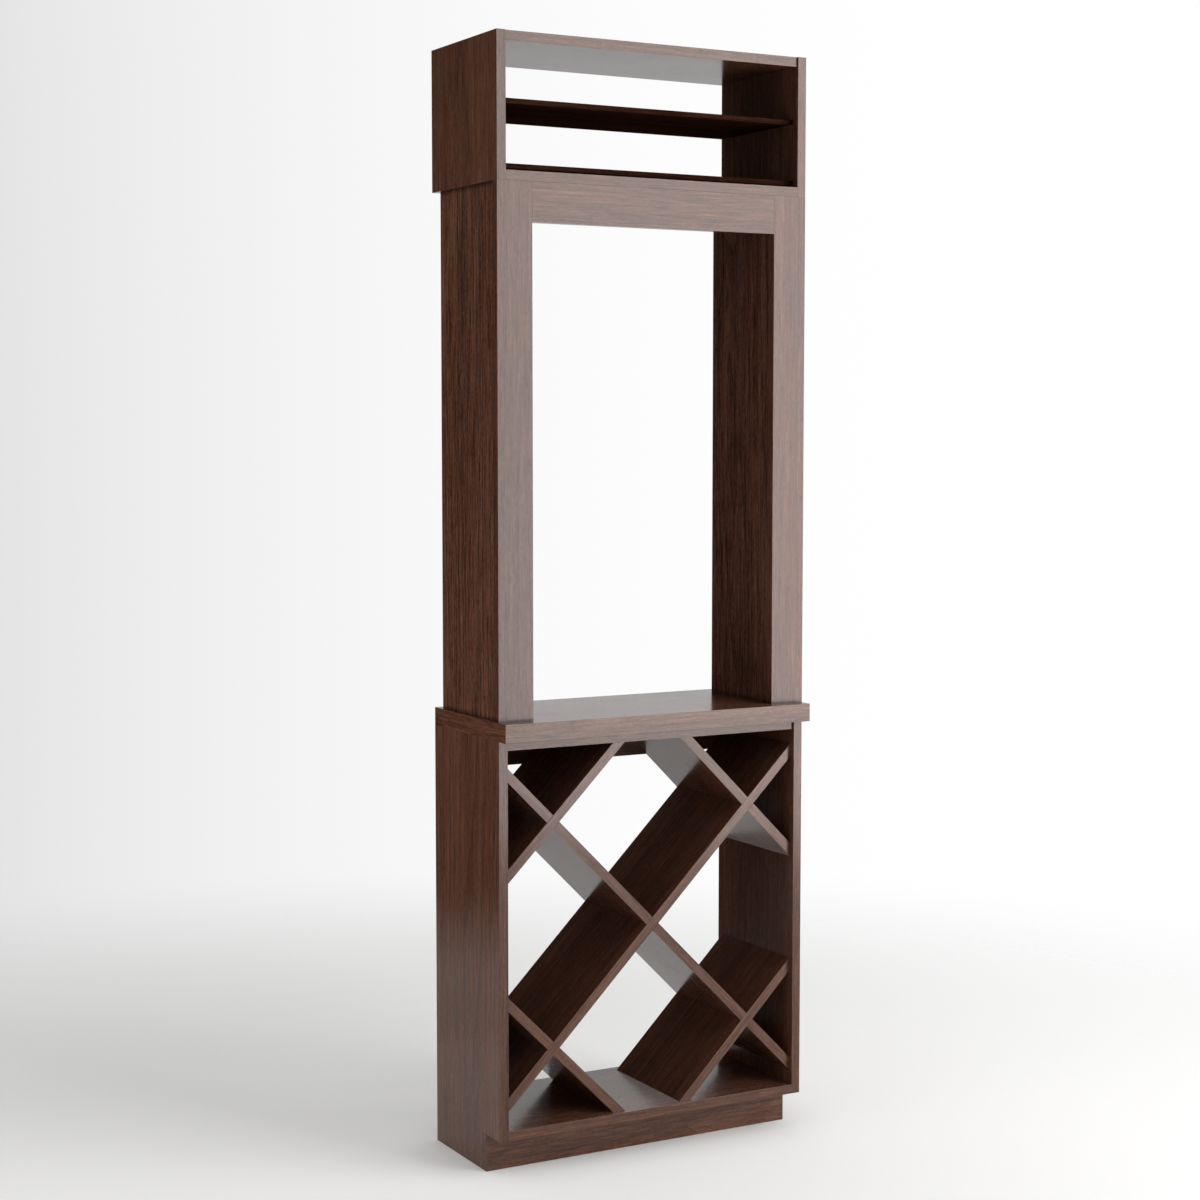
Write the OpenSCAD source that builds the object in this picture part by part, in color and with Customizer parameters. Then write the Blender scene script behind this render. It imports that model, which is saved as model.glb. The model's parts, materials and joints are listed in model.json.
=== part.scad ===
// Free-standing wine cabinet in dark walnut veneer: an open base with diamond bins, a table,
// two box columns with a header, and an open top box with two thin shelves.
// Millimetres. +Z is up and the front faces -Y. The origin is on the floor, at the middle of
// the overall width and the overall depth.

/* [Overall] */
// Width over the side panels
cabinet_w = 690; // [620:1:740]
// Depth of the base and of the top box, without the table's overhang
cabinet_d = 287; // [262:1:400]
// Thickness of the side, bottom and top panels
panel_t = 19; // [16:0.5:25]

/* [Base] */
// Height of the base, up to the underside of the table
base_h = 850; // [800:1:960]
// Height of the toe recess
toe_h = 74; // [60:1:110]
// Depth of the toe recess
toe_d = 61; // [40:1:90]
// Thickness of the toe board, the plinth rail and the back rail
rail_t = 19; // [16:0.5:25]
// Height of the back rail, under the base's top panel
back_rail_h = 71; // [50:1:110]
// Setback of the base's top panel behind the front edges of the sides
base_top_setback = 5; // [0:1:15]
// Side of the square glue blocks behind the toe board
glue_block_t = 25; // [15:1:40]
// Length of a glue block
glue_block_l = 60; // [30:1:100]
// Distance from one glue block to the next
glue_block_step = 220; // [120:1:240]
// Diameter of the holes through the back rail for fixing to a wall
wall_hole_d = 5.5; // [4:0.5:9]
// Distance between the two holes through the back rail
wall_hole_step = 400; // [200:1:480]

/* [Diamond dividers] */
// Thickness of a divider
divider_t = 19; // [15:0.5:25]
// Setback of the dividers' front edges behind the front edges of the sides
divider_setback = 11.5; // [0:0.5:25]
// Distance from the middle crossing to a corner crossing, along X and along Z
crossing_step = 222.5; // [205:0.5:240]
// Free play across a halving joint
lap_play = 0.3; // [0.1:0.1:1]

/* [Table] */
// Thickness of the table
table_t = 36; // [30:1:50]
// Overhang of the table beyond the front edges of the base
table_overhang = 29; // [10:1:60]

/* [Columns and header] */
// Height of the columns, from the table to the top box
column_h = 1019; // [800:1:1200]
// Width of a stile, the board on the front of a column
stile_w = 74; // [66:1:100]
// Thickness of the stiles and the header
frame_t = 19; // [16:0.5:25]
// Height of the header between the stiles
header_h = 76; // [60:1:120]
// Setback of a column's panels behind the edges of its stile
column_reveal = 3; // [0:0.5:6]
// Depth of a column's outer panel, behind the stile
outer_panel_d = 236; // [200:1:260]
// Depth of a column's inner panel, behind the stile
inner_panel_d = 216; // [170:1:236]
// Thickness of the strip that closes the back of a column
column_back_t = 12; // [6:0.5:19]
// Depth of the solid blocks at the foot and the head of a column
block_d = 120; // [80:1:150]
// Height of those blocks
block_h = 40; // [30:1:60]
// Distance between the two screws in a block
block_screw_step = 40; // [30:1:56]

/* [Top box] */
// Height of the top box
box_h = 276; // [230:1:400]
// Setback of the box's top panel behind the front edges of its sides
box_top_setback = 4; // [0:1:15]
// Thickness of the two thin shelves
shelf_t = 10; // [6:0.5:14]
// Gap between the box's bottom panel and the lower shelf
shelf_lift = 5; // [4:0.5:20]
// Height from the lower shelf to the upper shelf
shelf_step = 121; // [90:1:150]
// Setback of the shelves behind the front edges of the sides
shelf_setback = 24.5; // [16:0.5:50]
// Depth of the shelf grooves in the sides
groove_depth = 6; // [4:0.5:9]
// How far a groove runs on in front of its shelf
groove_lead = 8; // [0:0.5:14]
// Free play of a shelf in its groove
shelf_play = 0.3; // [0.1:0.1:1]

/* [Dowels and pins] */
// Diameter of the dowels
dowel_d = 8; // [6:0.5:10]
// Length of a dowel in the face of a panel
dowel_face_bite = 11; // [8:1:12]
// Length of a dowel in the edge of a panel
dowel_edge_bite = 19; // [12:1:22]
// Distance from the front or back edge of a panel to its nearest dowel
dowel_inset = 30; // [20:1:40]
// Distance from the upper or lower edge of a rail to its nearest dowel
rail_dowel_inset = 17; // [12:0.5:22]
// Distance from the ends of a column to its nearest dowels
column_dowel_inset = 60; // [40:1:100]
// Number of dowels along each panel of a column
column_dowels = 4; // [3:1:6]
// Diameter of the pins that hold the ends of the dividers
pin_d = 5; // [4:0.5:6]
// Length of a pin in a panel
pin_panel_bite = 10; // [6:1:12]
// Length of a pin in a divider
pin_divider_bite = 9; // [6:1:11]
// Distance from a divider's front or back edge to its nearest pin
pin_inset = 45; // [25:1:60]
// Play across a dowel or a pin in its hole
dowel_play = 0.1; // [0.02:0.02:0.2]
// Free length of a hole beyond the end of its dowel, pin or screw
hole_end_gap = 1; // [0.5:0.5:2]

/* [Screws] */
// Diameter of the screws
screw_d = 4.5; // [4:0.5:6]
// Diameter of the countersunk heads
screw_head_d = 8.5; // [8:0.5:12]
// Height of the countersunk heads
screw_head_h = 3; // [2:0.5:4]
// Play across a screw in the board that it passes through
screw_play = 0.6; // [0.2:0.1:1]
// Play across a screw in the board that it holds
pilot_play = 0.1; // [0.02:0.02:0.2]
// Length of a screw inside the table
table_bite = 22; // [15:1:26]
// Length of a screw inside a head block or the header
box_bite = 26; // [15:1:28]
// Distance between neighbouring screws along the base's top panel
table_screw_step = 225; // [150:1:260]
// Distance from the front and back edges to the screws in the base's top panel
table_screw_inset = 50; // [35:1:80]
// Distance between the screws in the header
header_screw_step = 300; // [150:1:420]

/* [Hidden] */

// Colours
walnut = [0.29, 0.19, 0.15];
walnut_front = [0.45, 0.36, 0.32];
walnut_inside = [0.20, 0.11, 0.08];
stained = [0.17, 0.09, 0.06];
bare_wood = [0.80, 0.67, 0.47];
zinc = [0.74, 0.75, 0.73];

// Roundness of the holes, dowels, pins and screws
$fn = 32;
// Overrun of a cut beyond the face that it opens
cut = 1;

// Planes across the depth: the front edges of the sides, and the back
overall_d = cabinet_d + table_overhang;
y_front = table_overhang - overall_d / 2;
y_back = overall_d / 2;
y_middle = (y_front + y_back) / 2;
y_toe_front = y_front + toe_d;
y_toe_back = y_toe_front + rail_t;

// Planes across the width
half_w = cabinet_w / 2;
half_in = half_w - panel_t;

// Planes up the height
z_table = base_h + table_t;
z_box = z_table + column_h;
z_header = z_box - header_h;
z_top = z_box + box_h;
z_lower_shelf = z_box + panel_t + shelf_lift;
z_upper_shelf = z_lower_shelf + shelf_step;
z_back_rail = base_h - panel_t - back_rail_h;

// The clear space inside the base, which the dividers fill
z_bins_low = toe_h + panel_t;
z_bins_high = base_h - panel_t;
z_bins = (z_bins_low + z_bins_high) / 2;
half_bins_h = (z_bins_high - z_bins_low) / 2;
y_divider_front = y_front + divider_setback;
y_divider_back = y_back - rail_t;
y_lap = (y_divider_front + y_divider_back) / 2;

// The columns
y_column = y_front + frame_t;
y_stile = y_front + frame_t / 2;
x_outer = half_w - column_reveal - panel_t;
x_inner = half_w - stile_w + column_reveal;
column_gap = x_outer - x_inner - panel_t;
y_blocks = y_column + block_d / 2;

// Slope and corner offset of each divider: its centre line is z = slope * x + offset,
// measured from the middle crossing
RISING = 1;
FALLING = -1;
corner_offset = 2 * crossing_step;
rising_offsets = [0, corner_offset, -corner_offset];
falling_offsets = [0, corner_offset, -corner_offset];
divider_list = concat([for (o = rising_offsets) [RISING, o]],
    [for (o = falling_offsets) [FALLING, o]]);

// Places of the fittings
panel_dowel_y = [y_front + dowel_inset, y_middle, y_back - dowel_inset];
back_rail_y = y_back - rail_t / 2;
rail_dowel_z = [rail_dowel_inset, toe_h - rail_dowel_inset];
back_rail_dowel_z = [z_back_rail + rail_dowel_inset, z_back_rail + back_rail_h - rail_dowel_inset];
header_dowel_z = [z_header + rail_dowel_inset, z_box - rail_dowel_inset];
column_dowel_pitch = (z_header - z_table - 2 * column_dowel_inset) / (column_dowels - 1);
column_dowel_z = [for (i = [0 : column_dowels - 1])
    z_table + column_dowel_inset + i * column_dowel_pitch];
pin_y = [y_divider_front + pin_inset, y_divider_back - pin_inset];
table_screw_x = [-table_screw_step, 0, table_screw_step];
table_screw_y = [y_front + table_screw_inset, y_back - table_screw_inset];
block_screw_y = [y_blocks - block_screw_step / 2, y_blocks + block_screw_step / 2];

// Each panel is a board between two opposite corners
module board(low, high) {
    translate(low) cube(high - low);
}

// A rod along +X from the origin, made of one length on each side of it
module rod_x(d, behind, ahead) {
    translate([-behind, 0, 0]) rotate([0, 90, 0]) cylinder(d = d, h = behind + ahead);
}

// Every child on the right, and its mirror image on the left
module both_sides() {
    for (side = [0, 1]) mirror([side, 0, 0]) children();
}

// The children on one side only
module on_side(left) {
    mirror([left ? 1 : 0, 0, 0]) children();
}

// A dowel's or a hole's rod between a face at the origin, which looks along -X, and the edge
// of the panel that meets it. The hole is wider and longer by its named clearances.
module dowel_rod(hole) {
    end_gap = hole ? hole_end_gap : 0;
    play = hole ? dowel_play : 0;
    rod_x(dowel_d + play, dowel_edge_bite + end_gap, dowel_face_bite + end_gap);
}

// The dowels between the base's right side and the panels and rails that end on it
module base_dowel_rods(hole) {
    for (y = panel_dowel_y, z = [toe_h + panel_t / 2, base_h - panel_t / 2])
        translate([half_in, y, z]) dowel_rod(hole);
    for (z = concat(rail_dowel_z, back_rail_dowel_z))
        translate([half_in, back_rail_y, z]) dowel_rod(hole);
}

// The dowels between the toe board's back and the front edge of the right side
module toe_dowel_rods(hole) {
    for (z = rail_dowel_z)
        translate([half_w - panel_t / 2, y_toe_back, z]) rotate([0, 0, -90]) dowel_rod(hole);
}

// The dowels between the top box's right side and its bottom and top panels
module box_dowel_rods(hole) {
    for (y = panel_dowel_y, z = [z_box + panel_t / 2, z_top - panel_t / 2])
        translate([half_in, y, z]) dowel_rod(hole);
}

// The dowels between the right stile's edge and the header's end
module header_dowel_rods(hole) {
    end_gap = hole ? hole_end_gap : 0;
    play = hole ? dowel_play : 0;
    bite = dowel_edge_bite + end_gap;
    for (z = header_dowel_z)
        translate([half_w - stile_w, y_stile, z]) rod_x(dowel_d + play, bite, bite);
}

// The dowels between the right stile's back and the two panels of its column
module stile_dowel_rods(hole) {
    for (x = [x_outer + panel_t / 2, x_inner + panel_t / 2], z = column_dowel_z)
        translate([x, y_column, z]) rotate([0, 0, -90]) dowel_rod(hole);
}

// Height of a divider's centre line where it meets the plane of a side
function wall_z(slope, offset, side) = slope * side * half_in + offset;

// Whether that end lands on the side, and not on the bottom or top panel
function ends_on_wall(slope, offset, side) = abs(wall_z(slope, offset, side)) <= half_bins_h;

// One pin at the end of a divider, square to the panel that the end lands on. The pin is
// shifted to follow the slanted divider, so that it stays inside it.
module divider_pin(slope, offset, side, hole) {
    end_gap = hole ? hole_end_gap : 0;
    play = hole ? dowel_play : 0;
    d = pin_d + play;
    inward = pin_divider_bite + end_gap;
    outward = pin_panel_bite + end_gap;
    z_wall = wall_z(slope, offset, side);
    up = sign(z_wall);
    shift = slope * pin_divider_bite / 2;
    for (y = pin_y) {
        if (ends_on_wall(slope, offset, side)) {
            translate([side * half_in, y, z_bins + z_wall - side * shift])
                rotate([0, 0, side > 0 ? 0 : 180]) rod_x(d, inward, outward);
        } else {
            translate([(up * half_bins_h - offset) * slope - up * shift, y, z_bins + up * half_bins_h])
                rotate([0, -90 * up, 0]) rod_x(d, inward, outward);
        }
    }
}

// The pins at both ends of every divider
module all_divider_pins(hole) {
    for (each_divider = divider_list, side = [-1, 1])
        divider_pin(each_divider[0], each_divider[1], side, hole);
}

// The slanted strip that a divider takes up, between two planes across the depth
module divider_strip(slope, offset, thickness, y_low, y_high) {
    reach = cabinet_w + base_h;
    translate([0, y_low, z_bins + offset]) rotate([0, -45 * slope, 0])
        translate([-reach, 0, -thickness / 2]) cube([2 * reach, y_high - y_low, thickness]);
}

// A divider cut to the clear space of the base. A rising divider is slotted from the back and
// a falling one from the front, so that each crossing is a halving joint.
module divider(slope, offset) {
    slot_low = slope == RISING ? y_lap - lap_play / 2 : y_divider_front - cut;
    slot_high = slope == RISING ? y_divider_back + cut : y_lap + lap_play / 2;
    difference() {
        intersection() {
            divider_strip(slope, offset, divider_t, y_divider_front, y_divider_back);
            board([-half_in, y_front, z_bins_low], [half_in, y_back, z_bins_high]);
        }
        for (o = slope == RISING ? falling_offsets : rising_offsets)
            divider_strip(-slope, o, divider_t + lap_play, slot_low, slot_high);
        all_divider_pins(true);
    }
}

// A countersunk wood screw pointing up, with the flat of its head at the origin
module wood_screw(length) {
    cylinder(d1 = screw_head_d, d2 = screw_d, h = screw_head_h);
    translate([0, 0, screw_head_h]) cylinder(d = screw_d, h = length - screw_head_h);
}

// The countersunk hole that lets such a screw through a board
module screw_hole(thickness) {
    translate([0, 0, -cut]) cylinder(d = screw_head_d + screw_play, h = cut);
    cylinder(d1 = screw_head_d + screw_play, d2 = screw_d + screw_play, h = screw_head_h);
    cylinder(d = screw_d + screw_play, h = thickness + cut);
}

// The blind hole that such a screw bites into, from a face at the origin
module pilot_hole(bite) {
    translate([0, 0, -cut]) cylinder(d = screw_d + pilot_play, h = bite + hole_end_gap + cut);
}

// Places of the table's screws, on the underside of the base's top panel
module at_table_screws() {
    for (x = table_screw_x, y = table_screw_y)
        translate([x, y, z_bins_high]) children();
}

// Places of the screws in the right column's foot, on top of the block and pointing down
module at_foot_screws() {
    for (y = block_screw_y)
        translate([x_inner + panel_t + column_gap / 2, y, z_table + block_h])
            rotate([180, 0, 0]) children();
}

// Places of the screws in the bottom of the top box, pointing down into the right head block
// and the header
module at_box_screws() {
    for (y = block_screw_y)
        translate([x_inner + panel_t + column_gap / 2, y, z_box + panel_t])
            rotate([180, 0, 0]) children();
    translate([header_screw_step / 2, y_stile, z_box + panel_t]) rotate([180, 0, 0]) children();
}

// Base

module base_side(left) {
    color(walnut) difference() {
        on_side(left) difference() {
            board([half_in, y_front, 0], [half_w, y_back, base_h]);
            board([half_in - cut, y_front - cut, -cut], [half_w + cut, y_toe_back, toe_h]);
            base_dowel_rods(true);
            toe_dowel_rods(true);
        }
        all_divider_pins(true);
    }
}

module base_side_left() {
    base_side(true);
}

module base_side_right() {
    base_side(false);
}

module base_bottom() {
    color(walnut_inside) difference() {
        board([-half_in, y_front, toe_h], [half_in, y_back, z_bins_low]);
        both_sides() base_dowel_rods(true);
        all_divider_pins(true);
    }
}

module base_top() {
    color(walnut_inside) difference() {
        board([-half_in, y_front + base_top_setback, z_bins_high], [half_in, y_back, base_h]);
        both_sides() base_dowel_rods(true);
        all_divider_pins(true);
        at_table_screws() screw_hole(panel_t);
    }
}

module base_back_rail() {
    color(walnut_inside) difference() {
        board([-half_in, y_back - rail_t, z_back_rail], [half_in, y_back, z_bins_high]);
        both_sides() base_dowel_rods(true);
        both_sides() translate([wall_hole_step / 2, y_back + cut, z_back_rail + back_rail_h / 2])
            rotate([90, 0, 0]) cylinder(d = wall_hole_d, h = rail_t + 2 * cut);
    }
}

module toe_board() {
    color(walnut_front) difference() {
        board([-half_w, y_toe_front, 0], [half_w, y_toe_back, toe_h]);
        both_sides() toe_dowel_rods(true);
    }
}

module plinth_rail() {
    color(walnut) difference() {
        board([-half_in, y_back - rail_t, 0], [half_in, y_back, toe_h]);
        both_sides() base_dowel_rods(true);
    }
}

module glue_blocks() {
    color(bare_wood) for (i = [-1, 0, 1])
        translate([i * glue_block_step - glue_block_l / 2, y_toe_back, toe_h - glue_block_t])
            cube([glue_block_l, glue_block_t, glue_block_t]);
}

module base_dowels() {
    color(bare_wood) both_sides() {
        base_dowel_rods(false);
        toe_dowel_rods(false);
    }
}

// Diamond dividers

module long_divider_rising() {
    color(walnut_front) divider(RISING, 0);
}

module long_divider_falling() {
    color(walnut_front) divider(FALLING, 0);
}

module short_divider_upper_left() {
    color(walnut_front) divider(RISING, corner_offset);
}

module short_divider_upper_right() {
    color(walnut_front) divider(FALLING, corner_offset);
}

module short_divider_lower_left() {
    color(walnut_front) divider(FALLING, -corner_offset);
}

module short_divider_lower_right() {
    color(walnut_front) divider(RISING, -corner_offset);
}

module divider_pins() {
    color(bare_wood) all_divider_pins(false);
}

// Table

module table_top() {
    color(walnut) difference() {
        board([-half_w, y_front - table_overhang, base_h], [half_w, y_back, z_table]);
        translate([0, 0, panel_t]) at_table_screws() pilot_hole(table_bite);
        both_sides() translate([0, 0, -block_h]) at_foot_screws() pilot_hole(table_bite);
    }
}

module table_screws() {
    color(zinc) at_table_screws() wood_screw(panel_t + table_bite);
}

// Columns and header

module stile(left) {
    color(walnut_front) on_side(left) difference() {
        board([half_w - stile_w, y_front, z_table], [half_w, y_column, z_box]);
        header_dowel_rods(true);
        stile_dowel_rods(true);
    }
}

module stile_left() {
    stile(true);
}

module stile_right() {
    stile(false);
}

module header() {
    color(walnut_front) difference() {
        board([stile_w - half_w, y_front, z_header], [half_w - stile_w, y_column, z_box]);
        both_sides() header_dowel_rods(true);
        both_sides() translate([0, 0, -panel_t]) at_box_screws() pilot_hole(box_bite);
    }
}

module column_panel(left, x, depth) {
    color(walnut) on_side(left) difference() {
        board([x, y_column, z_table], [x + panel_t, y_column + depth, z_box]);
        stile_dowel_rods(true);
    }
}

module column_outer_left() {
    column_panel(true, x_outer, outer_panel_d);
}

module column_outer_right() {
    column_panel(false, x_outer, outer_panel_d);
}

module column_inner_left() {
    column_panel(true, x_inner, inner_panel_d);
}

module column_inner_right() {
    column_panel(false, x_inner, inner_panel_d);
}

module column_back(left) {
    y_end = y_column + inner_panel_d;
    color(walnut) on_side(left)
        board([x_inner + panel_t, y_end - column_back_t, z_table], [x_outer, y_end, z_box]);
}

module column_back_left() {
    column_back(true);
}

module column_back_right() {
    column_back(false);
}

module foot_block(left) {
    color(bare_wood) on_side(left) difference() {
        board([x_inner + panel_t, y_column, z_table], [x_outer, y_column + block_d, z_table + block_h]);
        at_foot_screws() screw_hole(block_h);
    }
}

module foot_block_left() {
    foot_block(true);
}

module foot_block_right() {
    foot_block(false);
}

module head_block(left) {
    color(bare_wood) on_side(left) difference() {
        board([x_inner + panel_t, y_column, z_box - block_h], [x_outer, y_column + block_d, z_box]);
        translate([0, 0, -panel_t]) at_box_screws() pilot_hole(box_bite);
    }
}

module head_block_left() {
    head_block(true);
}

module head_block_right() {
    head_block(false);
}

module frame_dowels() {
    color(bare_wood) both_sides() {
        header_dowel_rods(false);
        stile_dowel_rods(false);
    }
}

module foot_screws() {
    color(zinc) both_sides() at_foot_screws() wood_screw(block_h + table_bite);
}

// Top box

module shelf_groove(z) {
    y_start = y_front + shelf_setback - groove_lead;
    board([half_in - cut, y_start, z], [half_in + groove_depth, y_back + cut, z + shelf_t + shelf_play]);
}

module box_side(left) {
    color(walnut) on_side(left) difference() {
        board([half_in, y_front, z_box], [half_w, y_back, z_top]);
        shelf_groove(z_lower_shelf);
        shelf_groove(z_upper_shelf);
        box_dowel_rods(true);
    }
}

module box_side_left() {
    box_side(true);
}

module box_side_right() {
    box_side(false);
}

module box_bottom() {
    color(walnut_front) difference() {
        board([-half_in, y_front, z_box], [half_in, y_back, z_box + panel_t]);
        both_sides() box_dowel_rods(true);
        both_sides() at_box_screws() screw_hole(panel_t);
    }
}

module box_top() {
    color(walnut_front) difference() {
        board([-half_in, y_front + box_top_setback, z_top - panel_t], [half_in, y_back, z_top]);
        both_sides() box_dowel_rods(true);
    }
}

module shelf(z) {
    half_l = half_in + groove_depth - shelf_play / 2;
    color(stained)
        board([-half_l, y_front + shelf_setback, z], [half_l, y_back, z + shelf_t]);
}

module lower_shelf() {
    shelf(z_lower_shelf);
}

module upper_shelf() {
    shelf(z_upper_shelf);
}

module box_dowels() {
    color(bare_wood) both_sides() box_dowel_rods(false);
}

module box_screws() {
    color(zinc) both_sides() at_box_screws() wood_screw(panel_t + box_bite);
}

base_side_left();
base_side_right();
base_bottom();
base_top();
base_back_rail();
toe_board();
plinth_rail();
glue_blocks();
long_divider_rising();
long_divider_falling();
short_divider_upper_left();
short_divider_upper_right();
short_divider_lower_left();
short_divider_lower_right();
table_top();
stile_left();
stile_right();
header();
column_outer_left();
column_outer_right();
column_inner_left();
column_inner_right();
column_back_left();
column_back_right();
foot_block_left();
foot_block_right();
head_block_left();
head_block_right();
box_side_left();
box_side_right();
box_bottom();
box_top();
lower_shelf();
upper_shelf();
base_dowels();
divider_pins();
frame_dowels();
box_dowels();
table_screws();
foot_screws();
box_screws();
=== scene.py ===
"""Looks of a tall walnut wine cabinet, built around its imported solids.

The cabinet stands on the floor at the origin, +Z up, and its front faces -Y. Lengths are in
metres, angles in degrees and colours are linear.
"""

import json
import logging
import math
import random
from dataclasses import dataclass, field
from enum import Enum

import bmesh
import bpy
from bmesh.types import BMEdge, BMesh, BMFace, BMVert
from bpy.types import Material, Node, NodeSocket, NodeTree, Object
from mathutils import Matrix, Vector


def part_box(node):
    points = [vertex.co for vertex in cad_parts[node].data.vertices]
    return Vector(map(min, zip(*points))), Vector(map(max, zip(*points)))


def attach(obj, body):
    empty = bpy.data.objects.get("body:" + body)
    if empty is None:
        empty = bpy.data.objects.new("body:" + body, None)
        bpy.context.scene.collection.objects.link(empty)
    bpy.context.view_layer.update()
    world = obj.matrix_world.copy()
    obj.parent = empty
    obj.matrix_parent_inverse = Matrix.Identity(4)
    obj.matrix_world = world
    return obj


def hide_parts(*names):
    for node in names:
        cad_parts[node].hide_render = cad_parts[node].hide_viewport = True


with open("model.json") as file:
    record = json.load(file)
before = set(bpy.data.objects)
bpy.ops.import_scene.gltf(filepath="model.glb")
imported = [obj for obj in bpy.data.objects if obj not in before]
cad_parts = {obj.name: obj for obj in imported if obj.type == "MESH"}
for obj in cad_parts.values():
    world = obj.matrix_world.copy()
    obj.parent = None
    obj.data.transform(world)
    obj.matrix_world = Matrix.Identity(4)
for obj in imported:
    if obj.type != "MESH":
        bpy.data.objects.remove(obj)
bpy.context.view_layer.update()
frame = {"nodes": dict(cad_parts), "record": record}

Colour = tuple[float, float, float]
Triple = tuple[float, float, float]
Pair = tuple[float, float]

LOG = logging.getLogger("wine_cabinet")
BODY = "root"
ARRIS = "arris"
MERGE_DISTANCE = 0.000001
MM_PER_METRE = 1000
# A face is an end of its board where its normal leans less than this from the grain
END_LEAN = math.radians(30)
# Two long faces meet at an arris where one turns more than this from the other
ARRIS_TURN = math.radians(60)
# A face looks along an axis where more than this share of its unit normal does
FACING = 0.99
# How far along each axis a board may be cut from the middle of the figure
SEED_REACH = 0.35
# The level about which a noise lies
NOISE_MIDDLE = 0.5
# Where the Mix node has its colours, among its inputs and its outputs
FIRST_COLOUR, SECOND_COLOUR, MIXED_COLOUR = 6, 7, 2
# Where a divider across a corner meets the centre line, above or below the middle of the base
CORNER_OFFSET = 0.445

DOWEL_NODES = ("base_dowels", "divider_pins", "frame_dowels", "box_dowels")
BLOCK_NODES = ("glue_blocks", "foot_block_left", "foot_block_right", "head_block_left",
               "head_block_right")
SCREW_NODES = ("table_screws", "foot_screws", "box_screws")


class Grain(Enum):
    """Which way a board's grain runs, as the turn that brings it upright."""

    UPRIGHT = (0.0, 0.0, 0.0)
    ACROSS = (0.0, -90.0, 0.0)
    INWARD = (90.0, 0.0, 0.0)
    RISING = (0.0, -45.0, 0.0)
    FALLING = (0.0, 45.0, 0.0)

    @property
    def turn(self) -> Vector:
        """The turn about each axis, in radians."""
        return Vector([math.radians(angle) for angle in self.value])

    @property
    def direction(self) -> Vector:
        """The unit vector along the grain."""
        turn = self.turn
        return Matrix.Rotation(-turn.y, 3, "Y") @ Matrix.Rotation(-turn.x, 3, "X") @ Vector((0, 0, 1))


class Slot(Enum):
    """The record's material slots."""

    PANEL = "walnut_panel"
    FRONT = "walnut_front"
    INSIDE = "walnut_inside"
    BLOCK = "hardwood_block"
    DOWEL = "beech_dowel"
    SCREW = "zinc_screw"
    SHELF = "stained_shelf"


def add_node(tree: NodeTree, kind: str, sockets: dict | None = None, **settings: object) -> Node:
    """Adds a shader node to a tree.

    Args:
        tree: The tree that gets the node.
        kind: The node's type, without ShaderNode in front.
        sockets: The value or the source socket of each input, by name or number.
        settings: The node's own properties.

    Returns:
        The new node.
    """
    made = tree.nodes.new("ShaderNode" + kind)
    for name, value in settings.items():
        setattr(made, name, value)
    for key, value in (sockets or {}).items():
        if isinstance(value, NodeSocket):
            tree.links.new(value, made.inputs[key])
        else:
            made.inputs[key].default_value = value
    return made


def reckon(tree: NodeTree, operation: str, *values: NodeSocket | float) -> NodeSocket:
    """Adds a step of arithmetic on up to three numbers, and gives its result."""
    return add_node(tree, "Math", dict(enumerate(values)), operation=operation).outputs[0]


def reckon_vector(tree: NodeTree, operation: str, *values: NodeSocket | Triple) -> Node:
    """Adds a step of arithmetic on up to three vectors, and gives the node."""
    return add_node(tree, "VectorMath", dict(enumerate(values)), operation=operation)


def scaled(tree: NodeTree, value: NodeSocket, gain: float, middle: float,
           base: NodeSocket | float) -> NodeSocket:
    """Adds gain times a value's distance from its middle to a base.

    Args:
        tree: The tree that gets the nodes.
        value: The value that is weighted.
        gain: Its weight.
        middle: The value that changes nothing.
        base: What the result is added to.

    Returns:
        The sum.
    """
    centred = reckon(tree, "SUBTRACT", value, middle)
    return reckon(tree, "MULTIPLY_ADD", centred, gain, base)


def between(tree: NodeTree, value: NodeSocket, span: Pair, ends: Pair = (0.0, 1.0),
            smooth: bool = False) -> NodeSocket:
    """Adds a map of a value from one span to another, held at the ends.

    Args:
        tree: The tree that gets the node.
        value: The value that is mapped.
        span: The values that give the two ends.
        ends: The results at the two ends.
        smooth: Whether the result leaves the ends softly.

    Returns:
        The result.
    """
    sockets = {"Value": value, "From Min": span[0], "From Max": span[1], "To Min": ends[0],
               "To Max": ends[1]}
    kind = "SMOOTHSTEP" if smooth else "LINEAR"
    return add_node(tree, "MapRange", sockets, interpolation_type=kind).outputs[0]


def colour_ramp(tree: NodeTree, fac: NodeSocket, stops: list[tuple[float, Colour]]) -> NodeSocket:
    """Adds a colour ramp.

    Args:
        tree: The tree that gets the node.
        fac: The place on the ramp.
        stops: Place and colour of each stop.

    Returns:
        The ramp's colour.
    """
    ramp = add_node(tree, "ValToRGB", {"Fac": fac})
    elements = ramp.color_ramp.elements
    while len(elements) < len(stops):
        elements.new(0.5)
    for element, (place, colour) in zip(elements, stops):
        element.position = place
        element.color = (*colour, 1.0)
    return ramp.outputs["Color"]


def mix_colours(tree: NodeTree, share: NodeSocket | float, first: NodeSocket,
                second: NodeSocket | tuple[float, ...], blend: str = "MIX") -> NodeSocket:
    """Lays a share of a second colour over a first one, and gives the colour that results."""
    sockets = {"Factor": share, FIRST_COLOUR: first, SECOND_COLOUR: second}
    return add_node(tree, "Mix", sockets, data_type="RGBA", blend_type=blend).outputs[MIXED_COLOUR]


def mix_shaders(tree: NodeTree, share: NodeSocket, first: Node, second: Node) -> NodeSocket:
    """Mixes a share of a second shader into a first one, and gives the mix."""
    sockets = {0: share, 1: first.outputs[0], 2: second.outputs[0]}
    return add_node(tree, "MixShader", sockets).outputs[0]


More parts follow.
